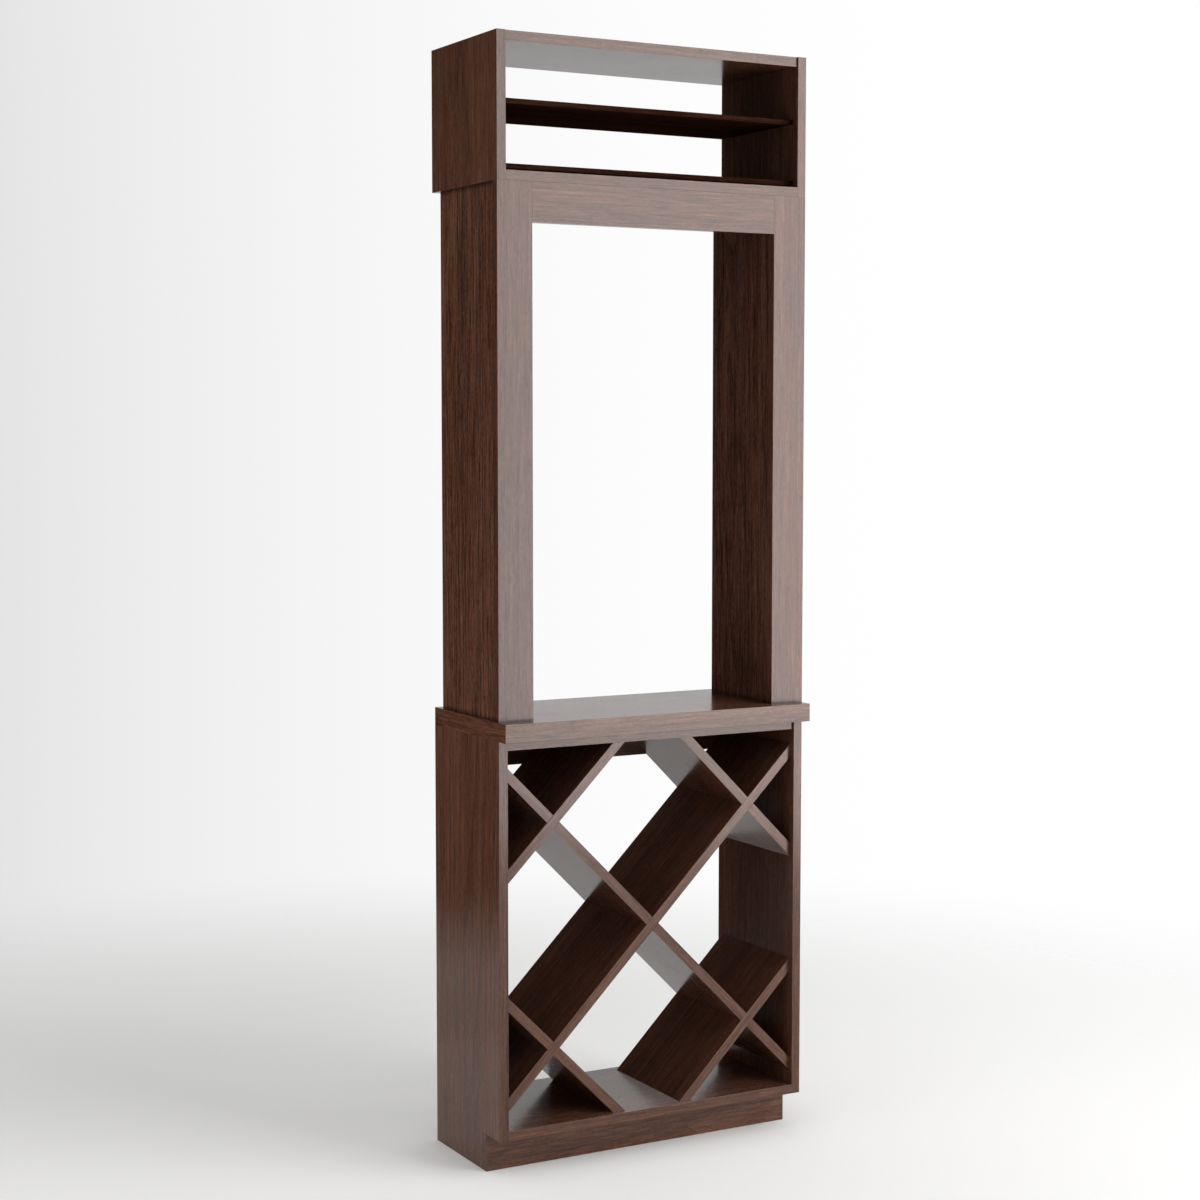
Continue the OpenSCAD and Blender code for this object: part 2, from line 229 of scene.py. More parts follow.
@dataclass(frozen=True)
class Layer:
    """One noise of a finish, with its features per metre along each axis and its weight."""

    scale: Triple
    detail: float
    weight: float = 1.0
    rough: float = 0.5

    def noise(self, tree: NodeTree, vector: NodeSocket) -> Node:
        """Adds the noise to a tree, at coordinates with the grain along Z."""
        stretched = add_node(tree, "Mapping", {"Vector": vector, "Scale": self.scale})
        return add_node(tree, "TexNoise", {"Vector": stretched.outputs[0], "Scale": 1.0,
                                           "Detail": self.detail, "Roughness": self.rough})

    def level(self, tree: NodeTree, vector: NodeSocket) -> NodeSocket:
        """Adds the noise and gives its level."""
        return self.noise(tree, vector).outputs["Fac"]

    def weigh(self, tree: NodeTree, level: NodeSocket, base: NodeSocket | float) -> NodeSocket:
        """Adds the noise's weight times its level's distance from the middle to a base."""
        return scaled(tree, level, self.weight, NOISE_MIDDLE, base)


@dataclass(frozen=True)
class Relief:
    """How strongly a finish's bumps show, and how deep they are."""

    strength: float
    depth: float


@dataclass(frozen=True)
class PaintedCornerShade:
    """An inner corner at the end of an upright board, darkened with painted shade for the shadow line
    that falls there.
    """

    height: float
    reach: float
    depth: float

    def paint_shade(self, tree: NodeTree, spot: NodeSocket, colour: NodeSocket) -> NodeSocket:
        """Paints shade into a colour towards the corner.

        Args:
            tree: The tree that gets the nodes.
            spot: The object's coordinates.
            colour: The colour away from the corner.

        Returns:
            The colour, darker near the corner.
        """
        axes = add_node(tree, "SeparateXYZ", {0: spot})
        left = between(tree, axes.outputs["Z"], (self.height, self.height + self.reach),
                       (1.0 - self.depth, 1.0), smooth=True)
        return add_node(tree, "VectorMath", {0: colour, "Scale": left},
                        operation="SCALE").outputs[0]


class Surface:
    """A material in the making, with its shader and the coordinates that its nodes read."""

    def __init__(self, name: str) -> None:
        """Starts the material.

        Args:
            name: The material's name.
        """
        self.material = bpy.data.materials.new(name)
        self.material.use_nodes = True
        self.tree = self.material.node_tree
        self.shader = self.tree.nodes["Principled BSDF"]
        self.spot = add_node(self.tree, "TexCoord").outputs["Object"]

    def along(self, grain: Grain, seed: Vector | Triple = (0.0, 0.0, 0.0)) -> NodeSocket:
        """Gives the coordinates with the grain along Z, moved to a place in the figure."""
        return add_node(self.tree, "Mapping", {"Vector": self.spot, "Rotation": grain.turn,
                                               "Location": seed}).outputs[0]

    def connect(self, colour: NodeSocket, rough: NodeSocket, height: NodeSocket,
                relief: Relief) -> None:
        """Gives the shader what its nodes have made.

        Args:
            colour: The colour.
            rough: The roughness.
            height: The height of the bumps.
            relief: How much of it shows.
        """
        bump = add_node(self.tree, "Bump", {"Height": height, "Strength": relief.strength,
                                            "Distance": relief.depth})
        self.tree.links.new(colour, self.shader.inputs["Base Color"])
        self.tree.links.new(rough, self.shader.inputs["Roughness"])
        self.tree.links.new(bump.outputs[0], self.shader.inputs["Normal"])


@dataclass(frozen=True)
class Walnut:
    """Dark walnut veneer under a satin lacquer."""

    name: str = "walnut"
    dark: Colour = (0.030, 0.0115, 0.0070)
    brown: Colour = (0.104, 0.0435, 0.0260)
    light: Colour = (0.215, 0.102, 0.062)
    shade_stops: Triple = (0.10, 0.50, 0.95)
    warm_tint: Colour = (1.06, 0.98, 0.91)
    cool_tint: Colour = (0.95, 0.99, 1.07)
    tint_stops: Pair = (0.32, 0.68)
    # The lighter colour mixed into the rounded arrises as a painted highlight, and its share.
    arris_highlight: Colour = (0.230, 0.130, 0.090)
    arris_highlight_share: float = 0.22
    sway: Layer = Layer((3.0, 3.0, 1.1), 1.0)
    wander: float = 0.012
    bands: Layer = Layer((14.0, 14.0, 0.7), 2.0, 0.3)
    blotches: Layer = Layer((26.0, 26.0, 2.2), 2.0, 0.4)
    streaks: Layer = Layer((150.0, 150.0, 2.0), 3.0, 0.62, 0.6)
    fibre: Layer = Layer((640.0, 640.0, 17.0), 2.0, 1.15)
    flecks: Layer = Layer((600.0, 600.0, 110.0), 1.0, 0.55)
    pores: Layer = Layer((1500.0, 1500.0, 50.0), 1.0, -0.22)
    pore_edges: Pair = (0.30, 0.40)
    swell: Layer = Layer((5.0, 5.0, 0.45), 1.5, 17.0)
    rings_across: Triple = (62.0, 41.0, 0.0)
    ring_sharpness: float = 3.5
    vein_weight: float = -0.28
    vein_middle: float = 0.11
    hue: Layer = Layer((42.0, 42.0, 0.9), 2.0)
    cloud: Layer = Layer((7.0, 7.0, 7.0), 3.0, 0.10)
    roughness: float = 0.17
    pore_roughness: float = 0.10
    relief: Relief = Relief(0.2, 0.00012)
    ior: float = 1.5
    sheen: float = 0.5

    def figure(self) -> NodeTree:
        """The shared group that draws the figure from coordinates with the grain along Z.

        Returns:
            The node group, with the colour, the pores and the height as its outputs.
        """
        name = self.name + "_figure"
        if name in bpy.data.node_groups:
            return bpy.data.node_groups[name]
        tree = bpy.data.node_groups.new(name, "ShaderNodeTree")
        for socket, way, kind in (("Vector", "INPUT", "Vector"), ("Tone", "INPUT", "Float"),
                                  ("Contrast", "INPUT", "Float"), ("Color", "OUTPUT", "Color"),
                                  ("Pores", "OUTPUT", "Float"), ("Height", "OUTPUT", "Float")):
            tree.interface.new_socket(name=socket, in_out=way, socket_type="NodeSocket" + kind)
        given = tree.nodes.new("NodeGroupInput")
        result = tree.nodes.new("NodeGroupOutput")

        place = self.bend(tree, given.outputs["Vector"])
        blotches = self.blotches.level(tree, place)
        fibre = self.fibre.level(tree, place)
        pores = between(tree, self.pores.level(tree, place), self.pore_edges, (1.0, 0.0))

        shade = self.bands.weigh(tree, self.bands.level(tree, place), 0.0)
        shade = self.blotches.weigh(tree, blotches, shade)
        shade = self.streaks.weigh(tree, self.streaks.level(tree, place), shade)
        shade = self.fibre.weigh(tree, fibre, shade)
        shade = self.flecks.weigh(tree, self.flecks.level(tree, place), shade)
        veins = reckon(tree, "MULTIPLY", self.rings(tree, place), blotches)
        shade = scaled(tree, veins, self.vein_weight, self.vein_middle, shade)
        shade = scaled(tree, pores, self.pores.weight, 0.0, shade)
        shade = reckon(tree, "MULTIPLY_ADD", shade, given.outputs["Contrast"],
                       given.outputs["Tone"])

        colours = (self.dark, self.brown, self.light)
        colour = colour_ramp(tree, shade, list(zip(self.shade_stops, colours)))
        tints = (self.cool_tint, self.warm_tint)
        tint = colour_ramp(tree, self.hue.level(tree, place), list(zip(self.tint_stops, tints)))
        tinted = mix_colours(tree, 1.0, colour, tint, "MULTIPLY")
        tree.links.new(tinted, result.inputs["Color"])
        tree.links.new(pores, result.inputs["Pores"])
        tree.links.new(scaled(tree, pores, -1.0, 0.0, fibre), result.inputs["Height"])
        return tree

    def bend(self, tree: NodeTree, vector: NodeSocket) -> NodeSocket:
        """Lets the coordinates wander to the sides, slowly along the grain.

        Args:
            tree: The tree that gets the nodes.
            vector: The coordinates, with the grain along Z.

        Returns:
            The bent coordinates.
        """
        sway = self.sway.noise(tree, vector).outputs["Color"]
        centred = reckon_vector(tree, "SUBTRACT", sway, (NOISE_MIDDLE,) * 3).outputs[0]
        sideways = (self.wander, self.wander, 0.0)
        return reckon_vector(tree, "MULTIPLY_ADD", centred, sideways, vector).outputs[0]

    def rings(self, tree: NodeTree, place: NodeSocket) -> NodeSocket:
        """Adds the growth rings, evenly spaced across the grain but for a long, slow swell.

        Args:
            tree: The tree that gets the nodes.
            place: The coordinates, with the grain along Z.

        Returns:
            The rings, from 0 to 1 at their dark lines.
        """
        swell = self.swell.level(tree, place)
        even = reckon_vector(tree, "DOT_PRODUCT", place, self.rings_across).outputs["Value"]
        counted = reckon(tree, "MULTIPLY_ADD", swell, self.swell.weight, even)
        return reckon(tree, "POWER", reckon(tree, "FRACT", counted), self.ring_sharpness)

    def material(self, name: str, grain: Grain, seed: Vector, tone: float, contrast: float,
                 corners: tuple[PaintedCornerShade, ...] = ()) -> Material:
        """Makes the finish of one board.

        Args:
            name: The board's name.
            grain: Which way its grain runs.
            seed: Where in the figure the board is cut from.
            tone: How much lighter the board is than the middle tone.
            contrast: How lively its figure is, with 1 for the middle of the range.
            corners: Where painted shade darkens the board's foot and head, for the shadow lines
                there.

        Returns:
            The material.
        """
        surface = Surface(f"{self.name}_{name}")
        tree = surface.tree
        sockets = {"Vector": surface.along(grain, seed), "Tone": self.shade_stops[1] + tone,
                   "Contrast": contrast}
        figure = add_node(tree, "Group", sockets, node_tree=self.figure())
        # A painted highlight: a lighter colour is mixed into the faces of the rounded arrises.
        arris = add_node(tree, "Attribute", attribute_name=ARRIS, attribute_type="GEOMETRY")
        arris_highlight_share = reckon(tree, "MULTIPLY", arris.outputs["Fac"], self.arris_highlight_share)
        colour = mix_colours(tree, arris_highlight_share, figure.outputs["Color"], (*self.arris_highlight, 1.0))
        # Painted shade, darker towards the corners at the board's foot and head.
        for corner in corners:
            colour = corner.paint_shade(tree, surface.spot, colour)
        rough = self.cloud.weigh(tree, self.cloud.level(tree, surface.spot), self.roughness)
        rough = scaled(tree, figure.outputs["Pores"], self.pore_roughness, 0.0, rough)
        surface.connect(colour, rough, figure.outputs["Height"], self.relief)
        surface.shader.inputs["IOR"].default_value = self.ior
        surface.shader.inputs["Specular IOR Level"].default_value = self.sheen
        return surface.material


MATT_STAIN = Walnut(name="stain", dark=(0.009, 0.0032, 0.0020), brown=(0.026, 0.0095, 0.0058),
                    light=(0.055, 0.023, 0.015), arris_highlight=(0.05, 0.022, 0.014), roughness=0.66,
                    sheen=0.0)


@dataclass(frozen=True)
class BareTimber:
    """Pale timber straight from the saw or the lathe, with no lacquer."""

    name: str
    dark: Colour
    light: Colour
    grain: Grain
    streaks: Layer = Layer((260.0, 260.0, 14.0), 4.0, 0.3, 0.6)
    stops: Pair = (0.3, 0.7)
    saw_marks: Layer = Layer((60.0, 60.0, 900.0), 2.0)
    roughness: float = 0.62
    relief: Relief = Relief(0.5, 0.0002)

    def material(self) -> Material:
        """Makes the finish.

        Returns:
            The material.
        """
        surface = Surface(self.name)
        tree = surface.tree
        along = surface.along(self.grain)
        streaks = self.streaks.level(tree, along)
        colour = colour_ramp(tree, streaks, list(zip(self.stops, (self.dark, self.light))))
        rough = self.streaks.weigh(tree, streaks, self.roughness)
        surface.connect(colour, rough, self.saw_marks.level(tree, along), self.relief)
        return surface.material


@dataclass(frozen=True)
class ZincPlate:
    """Bright zinc plating on the screws, clouded and a little scuffed."""

    dull: Colour = (0.38, 0.39, 0.38)
    bright: Colour = (0.62, 0.63, 0.61)
    stops: Pair = (0.35, 0.6)
    cloud: Layer = Layer((900.0, 900.0, 900.0), 4.0, 0.3, 0.6)
    roughness: float = 0.32
    relief: Relief = Relief(0.3, 0.00003)

    def material(self) -> Material:
        """Makes the finish.

        Returns:
            The material.
        """
        surface = Surface("zinc_plate")
        tree = surface.tree
        cloud = self.cloud.level(tree, surface.spot)
        colour = colour_ramp(tree, cloud, list(zip(self.stops, (self.dull, self.bright))))
        rough = self.cloud.weigh(tree, cloud, self.roughness)
        surface.connect(colour, rough, cloud, self.relief)
        surface.shader.inputs["Metallic"].default_value = 1.0
        return surface.material


def new_object(name: str, mesh: BMesh) -> Object:
    """Makes an object of a mesh and puts it in the scene.

    Args:
        name: The object's name, and its mesh's.
        mesh: The mesh. It is freed here.

    Returns:
        The object.
    """
    data = bpy.data.meshes.new(name)
    mesh.to_mesh(data)
    mesh.free()
    made = bpy.data.objects.new(name, data)
    bpy.context.scene.collection.objects.link(made)
    return made


def box_mesh(low: Vector, high: Vector) -> BMesh:
    """Makes a block between two opposite corners.

    Args:
        low: The lowest corner.
        high: The highest corner.

    Returns:
        The block.
    """
    made = bmesh.new()
    size = Matrix.Diagonal((*(high - low), 1.0))
    bmesh.ops.create_cube(made, size=1.0, matrix=Matrix.Translation((low + high) / 2) @ size)
    return made


def outline_mesh(corners: list[Vector], depth: Vector) -> BMesh:
    """Makes a plate from its outline.

    Args:
        corners: The outline's corners, in order.
        depth: How far and which way the plate is thick.

    Returns:
        The plate.
    """
    made = bmesh.new()
    face = made.faces.new([made.verts.new(corner) for corner in corners])
    grown = bmesh.ops.extrude_face_region(made, geom=[face])
    moved = [item for item in grown["geom"] if isinstance(item, BMVert)]
    bmesh.ops.translate(made, verts=moved, vec=depth)
    bmesh.ops.recalc_face_normals(made, faces=made.faces)
    return made


def island_boxes(mesh: BMesh) -> list[tuple[list[BMFace], Vector, Vector]]:
    """Splits a mesh into its separate solids.

    Args:
        mesh: The mesh, with its doubles merged.

    Returns:
        Faces, lowest and highest corner of each solid.
    """
    waiting = set(mesh.faces)
    found = []
    while waiting:
        solid = {waiting.pop()}
        edge_faces = list(solid)
        while edge_faces:
            face = edge_faces.pop()
            near = {n for edge in face.edges for n in edge.link_faces} & waiting
            waiting -= near
            solid |= near
            edge_faces.extend(near)
        corners = [vert.co for face in solid for vert in face.verts]
        low = Vector([min(axis) for axis in zip(*corners)])
        high = Vector([max(axis) for axis in zip(*corners)])
        found.append((list(solid), low, high))
    return found


@dataclass
class FittingHoles:
    """The holes that the dowels, pins and screws need in the boards."""

    nodes: tuple[str, ...] = DOWEL_NODES + SCREW_NODES
    play: float = 0.00015

    def cutters(self, low: Vector, high: Vector) -> list[BMesh]:
        """Makes the fattened copies of the fittings that reach into one board.

        Args:
            low: The board's lowest corner.
            high: The board's highest corner.

        Returns:
            One cutter, or none where no fitting reaches into the board.
        """
        result = bmesh.new()
        for node in self.nodes:
            rods = bmesh.new()
            rods.from_mesh(frame["nodes"][node].data)
            bmesh.ops.remove_doubles(rods, verts=rods.verts, dist=MERGE_DISTANCE)
            apart = [face for faces, bottom, top in island_boxes(rods)
                     if any(top[i] < low[i] or bottom[i] > high[i] for i in range(3))
                     for face in faces]
            bmesh.ops.delete(rods, geom=apart, context="FACES")
            rods.normal_update()
            for vert in rods.verts:
                vert.co += vert.normal * self.play
            kept = bpy.data.meshes.new("rods")
            rods.to_mesh(kept)
            rods.free()
            result.from_mesh(kept)
            bpy.data.meshes.remove(kept)
        return [result] if result.faces else []


def carve(piece: Object, cutter: BMesh) -> None:
    """Cuts a shape out of a piece for good.

    Args:
        piece: The piece that is cut.
        cutter: The shape that is taken away. It is freed here.
    """
    tool = new_object("cutter", cutter)
    cut = piece.modifiers.new("cut", "BOOLEAN")
    cut.operation = "DIFFERENCE"
    cut.solver = "EXACT"
    cut.object = tool
    graph = bpy.context.evaluated_depsgraph_get()
    carved = bpy.data.meshes.new_from_object(piece.evaluated_get(graph), depsgraph=graph,
                                             preserve_all_data_layers=True)
    piece.modifiers.clear()
    spent = (piece.data, tool.data)
    piece.data = carved
    bpy.data.objects.remove(tool)
    for mesh in spent:
        bpy.data.meshes.remove(mesh)


@dataclass
class Board:
    """One board, cut to the box of the solid that it dresses."""

    node: str
    grain: Grain
    slot: Slot
    end_grain: Grain = Grain.INWARD
    tone: float = 0.0
    arris: float = 0.00035
    end_arris: float = 0.0002
    arris_segments: int = 2
    tone_spread: float = 0.01
    contrast: float = 1.0
    band_tone: float | None = None
    band_contrast: float = 0.8
    other_leaf: float = 0.5
    # Painted shade at the board's foot and head, for the shadow lines against the table and under the
    # box.
    foot_painted_shade: float = 0.0
    head_painted_shade: float = 0.0
    painted_shade_reach: float = 0.014
    finish: Walnut = Walnut()

    def __post_init__(self) -> None:
        """Reads the board's place from the frame."""
        self.low, self.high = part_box(self.node)

    def blank(self) -> BMesh:
        """The board with sharp edges."""
        return box_mesh(self.low, self.high)

    def recesses(self) -> list[BMesh]:
        """The shapes that are cut out of the board, apart from the holes for its fittings."""
        return []

    def is_end(self, normal: Vector) -> bool:
        """Whether a face with this normal cuts across the grain."""
        return abs(normal.dot(self.grain.direction)) > math.cos(END_LEAN)

    def ease(self, mesh: BMesh) -> None:
        """Rounds the arrises, first the long ones and then those at the ends.

        Args:
            mesh: The board with sharp edges.
        """
        # The faces of the rounded arrises are marked for the painted highlight.
        arris_highlight = mesh.faces.layers.float.new(ARRIS)
        for size, at_end in ((self.arris, False), (self.end_arris, True)):
            mesh.normal_update()
            edges = [edge for edge in mesh.edges
                     if any(self.is_end(face.normal) for face in edge.link_faces) == at_end
                     and (at_end or edge.calc_face_angle(0.0) > ARRIS_TURN)]
            done = bmesh.ops.bevel(mesh, geom=edges, offset=size, offset_type="OFFSET",
                                   segments=self.arris_segments, profile=0.5, affect="EDGES",
                                   material=-1, clamp_overlap=True)
            for face in done["faces"]:
                face[arris_highlight] = 1.0

    def dress(self, piece: Object) -> None:
        """Gives the piece its veneer and the bands on its ends and its front edge.

        Args:
            piece: The finished piece.
        """
        draw = random.Random(self.node)
        seed = Vector([draw.uniform(-SEED_REACH, SEED_REACH) for _ in range(3)])
        tone = self.tone + draw.uniform(-self.tone_spread, self.tone_spread)
        # Painted shade at the foot and the head of the board.
        corners = (PaintedCornerShade(self.low.z, self.painted_shade_reach, self.foot_painted_shade),
                   PaintedCornerShade(self.high.z, -self.painted_shade_reach, self.head_painted_shade))
        veneers = [self.finish.material(self.node, self.grain, seed, tone, self.contrast,
                                        tuple(corner for corner in corners if corner.depth))]
        ends_banded = self.grain in (Grain.UPRIGHT, Grain.ACROSS)
        if ends_banded:
            veneers.append(self.finish.material(self.node + "_end", self.end_grain, seed, tone,
                                                self.contrast))
        if self.band_tone is not None:
            other = seed + Vector((self.other_leaf, self.other_leaf, 0.0))
            veneers.append(self.finish.material(self.node + "_band", self.grain, other,
                                                tone + self.band_tone, self.band_contrast))
        piece.data.materials.clear()
        for veneer in veneers:
            piece.data.materials.append(veneer)
        for face in piece.data.polygons:
            if ends_banded and self.is_end(face.normal):
                face.material_index = 1
            elif self.band_tone is not None and face.normal.y < -FACING:
                face.material_index = len(veneers) - 1
            else:
                face.material_index = 0

    def build(self, holes: FittingHoles) -> Object:
        """Makes the finished piece.

        Args:
            holes: The holes for the fittings.

        Returns:
            The piece, riding on the cabinet in place of its solid.
        """
        mesh = self.blank()
        self.ease(mesh)
        piece = new_object(self.node + "_board", mesh)
        for cutter in self.recesses() + holes.cutters(self.low, self.high):
            carve(piece, cutter)
        self.dress(piece)
        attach(piece, BODY)
        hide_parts(self.node)
        return piece


@dataclass
class BaseSide(Board):
    """A side of the base, notched at its foot for the toes."""

    def blank(self) -> BMesh:
        """The side with sharp edges."""
        toe_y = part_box("toe_board")[1].y
        toe_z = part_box("base_bottom")[0].z
        outline = ((toe_y, self.low.z), (self.high.y, self.low.z), (self.high.y, self.high.z),
                   (self.low.y, self.high.z), (self.low.y, toe_z), (toe_y, toe_z))
        corners = [Vector((self.low.x, y, z)) for y, z in outline]
        return outline_mesh(corners, Vector((self.high.x - self.low.x, 0, 0)))


@dataclass
class BackRail(Board):
    """The rail at the back, with the two holes that fix the cabinet to a wall."""

    hole_segments: int = 32
    cutter_lengths: float = 3.0

    def recesses(self) -> list[BMesh]:
        """The holes of the wall fixing, cut by rods longer than the rail is thick."""
        fixing = next(m for m in frame["record"]["mounts"] if m["name"] == "wall_fixing")
        middle = Vector(fixing["pos_m"])
        half_step = fixing["dims"]["spacing_x_mm"] / MM_PER_METRE / 2
        radius = fixing["dims"]["hole_r_mm"] / MM_PER_METRE
        length = self.cutter_lengths * (self.high.y - self.low.y)
        holes = bmesh.new()
        for side in (-1, 1):
            place = Matrix.Translation(middle + Vector((side * half_step, 0, 0)))
            bmesh.ops.create_cone(holes, cap_ends=True, segments=self.hole_segments,
                                  radius1=radius, radius2=radius, depth=length,
                                  matrix=place @ Matrix.Rotation(math.pi / 2, 4, "X"))
        return [holes]


@dataclass
class Divider(Board):
    """A diagonal board of the base, slotted where it crosses the others.

    The offset is how far above the middle of the base it meets the centre line. From there it
    runs half_length to each side, until it is cut to the base.
    """

    offset: float = 0.0
    thickness: float = 0.019
    lap_play: float = 0.0003
    half_length: float = 0.75

    def crossings(self) -> list[float]:
        """The places along the board where it crosses the boards of the other slope."""
        others = (-CORNER_OFFSET, 0.0, CORNER_OFFSET)
        rising = self.grain is Grain.RISING
        rises = [other - self.offset if rising else self.offset - other for other in others]
        return sorted(rise / math.sqrt(2) for rise in rises)

    def outline(self) -> list[Vector]:
        """The board's outline seen square to its face, with a slot at each crossing."""
        lap = (self.low.y + self.high.y) / 2
        rising = self.grain is Grain.RISING
        slot_end = lap - self.lap_play / 2 if rising else lap + self.lap_play / 2
        slotted, whole = (self.high.y, self.low.y) if rising else (self.low.y, self.high.y)
        half_slot = (self.thickness + self.lap_play) / 2
        points = [(-self.half_length, whole), (-self.half_length, slotted)]
        for place in self.crossings():
            points += [(place - half_slot, slotted), (place - half_slot, slot_end),
                       (place + half_slot, slot_end), (place + half_slot, slotted)]
        points += [(self.half_length, slotted), (self.half_length, whole)]
        return [Vector((x, y, 0)) for x, y in points]

    def blank(self) -> BMesh:
        """The board with sharp edges, cut to the clear space of the base."""
        made = outline_mesh(self.outline(), Vector((0, 0, self.thickness)))
        floor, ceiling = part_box("base_bottom")[1].z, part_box("base_top")[0].z
        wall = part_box("base_bottom")[1].x
        slope = math.radians(self.grain.value[1])
        middle = Matrix.Translation(Vector((0, 0, (floor + ceiling) / 2 + self.offset)))
        lowered = Matrix.Translation(Vector((0, 0, -self.thickness / 2)))
        place = middle @ Matrix.Rotation(slope, 4, "Y") @ lowered
        bmesh.ops.transform(made, matrix=place, verts=made.verts)
        for point, normal in (((wall, 0, 0), (1, 0, 0)), ((-wall, 0, 0), (-1, 0, 0)),
                              ((0, 0, ceiling), (0, 0, 1)), ((0, 0, floor), (0, 0, -1))):
            geometry = [*made.verts, *made.edges, *made.faces]
            cut = bmesh.ops.bisect_plane(made, geom=geometry, plane_co=point, plane_no=normal,
                                         clear_outer=True)
            rim = [item for item in cut["geom_cut"] if isinstance(item, BMEdge)]
            if rim:
                bmesh.ops.edgeloop_fill(made, edges=rim)
        bmesh.ops.recalc_face_normals(made, faces=made.faces)
        return made

    def is_end(self, normal: Vector) -> bool:
        """Whether a face with this normal lies on a wall, the floor or the ceiling of the base."""
        return max(abs(normal.x), abs(normal.z)) > FACING


@dataclass
class GroovedSide(Board):
    """A side of the top box, with a stopped groove for each thin shelf."""

    groove_lead: float = 0.008
    groove_play: float = 0.0003
    overrun: float = 0.002

    def recesses(self) -> list[BMesh]:
        """The two grooves, which run out at the back."""
        found = []
        for shelf in ("lower_shelf", "upper_shelf"):
            low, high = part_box(shelf)
            low = Vector((low.x - self.groove_play / 2, low.y - self.groove_lead, low.z))
            high = Vector((high.x + self.groove_play / 2, high.y + self.overrun,
                           high.z + self.groove_play))
            found.append(box_mesh(low, high))
        return found


@dataclass
class Base:
    """The base: two sides, its panels and rails, and the diamond dividers."""

    divider_arris: float = 0.0003
    side_contrast: float = 0.72
    divider_contrast: float = 0.82

    def carcass(self) -> list[Board]:
        """The sides, panels and rails."""
        return [
            BaseSide("base_side_left", Grain.UPRIGHT, Slot.PANEL, tone=0.02, band_tone=-0.16,
                     contrast=self.side_contrast),
            BaseSide("base_side_right", Grain.UPRIGHT, Slot.PANEL, band_tone=0.0,
                     contrast=self.side_contrast),
            Board("base_bottom", Grain.ACROSS, Slot.INSIDE, band_tone=-0.04),
            Board("base_top", Grain.ACROSS, Slot.INSIDE, band_tone=0.0),
            BackRail("base_back_rail", Grain.ACROSS, Slot.INSIDE),
            Board("toe_board", Grain.ACROSS, Slot.FRONT, end_grain=Grain.UPRIGHT, tone=-0.03),
            Board("plinth_rail", Grain.ACROSS, Slot.PANEL),
        ]

    def dividers(self) -> list[Board]:
        """The two long boards that cross in the middle, and the four across the corners."""
        places = [
            ("long_divider_rising", Grain.RISING, 0.0),
            ("long_divider_falling", Grain.FALLING, 0.0),
            ("short_divider_upper_left", Grain.RISING, CORNER_OFFSET),
            ("short_divider_upper_right", Grain.FALLING, CORNER_OFFSET),
            ("short_divider_lower_left", Grain.FALLING, -CORNER_OFFSET),
            ("short_divider_lower_right", Grain.RISING, -CORNER_OFFSET),
        ]
        return [Divider(node, grain, Slot.FRONT, offset=offset, arris=self.divider_arris,
                        contrast=self.divider_contrast, band_tone=0.0)
                for node, grain, offset in places]

    def parts(self) -> list[Board]:
        """Every board of the base."""
        return self.carcass() + self.dividers()


@dataclass
class Table:
    """The thick table between the base and the columns."""

    arris: float = 0.0005

    def parts(self) -> list[Board]:
        """The table's one board, with softer arrises than the rest."""
        return [Board("table_top", Grain.ACROSS, Slot.PANEL, tone=0.05, arris=self.arris,
                      end_arris=self.arris)]


@dataclass
class Columns:
    """The two box columns and the header that joins them."""

    sides: tuple[str, ...] = ("left", "right")
    stile_tones: Pair = (-0.06, 0.02)
    header_tone: float = -0.02
    side_tone: float = 0.02
    front_contrast: float = 0.78
    side_contrast: float = 1.35
    joint_arris: float = 0.0002
    # How deep the painted shade is at the feet and heads of the column panels and at the feet of the
    # stiles.
    stain: float = 0.6

    def parts(self) -> list[Board]:
        """Every board of the columns."""
        found = [Board("header", Grain.ACROSS, Slot.FRONT, tone=self.header_tone,
                       contrast=self.front_contrast, arris=self.joint_arris)]
        for side, tone in zip(self.sides, self.stile_tones):
            found.append(Board("stile_" + side, Grain.UPRIGHT, Slot.FRONT, tone=tone,
                               contrast=self.front_contrast, arris=self.joint_arris,
                               foot_painted_shade=self.stain))
            for panel in ("outer", "inner", "back"):
                found.append(Board(f"column_{panel}_{side}", Grain.UPRIGHT, Slot.PANEL,
                                   tone=self.side_tone, contrast=self.side_contrast,
                                   foot_painted_shade=self.stain, head_painted_shade=self.stain))
        return found


@dataclass
class TopBox:
    """The open box on top, with its two thin shelves."""

    shelf_arris: float = 0.0015
    front_tone: float = 0.03
    contrast: float = 0.75

    def parts(self) -> list[Board]:
        """Every board of the box."""
        return [
            GroovedSide("box_side_left", Grain.UPRIGHT, Slot.PANEL, contrast=self.contrast,
                        band_tone=-0.14),
            GroovedSide("box_side_right", Grain.UPRIGHT, Slot.PANEL, contrast=self.contrast,
                        band_tone=self.front_tone),
            Board("box_bottom", Grain.ACROSS, Slot.FRONT, contrast=self.contrast),
            Board("box_top", Grain.ACROSS, Slot.FRONT, contrast=self.contrast,
                  band_tone=self.front_tone),
            Board("lower_shelf", Grain.ACROSS, Slot.SHELF, arris=self.shelf_arris,
                  finish=MATT_STAIN),
            Board("upper_shelf", Grain.ACROSS, Slot.SHELF, arris=self.shelf_arris,
                  finish=MATT_STAIN),
        ]


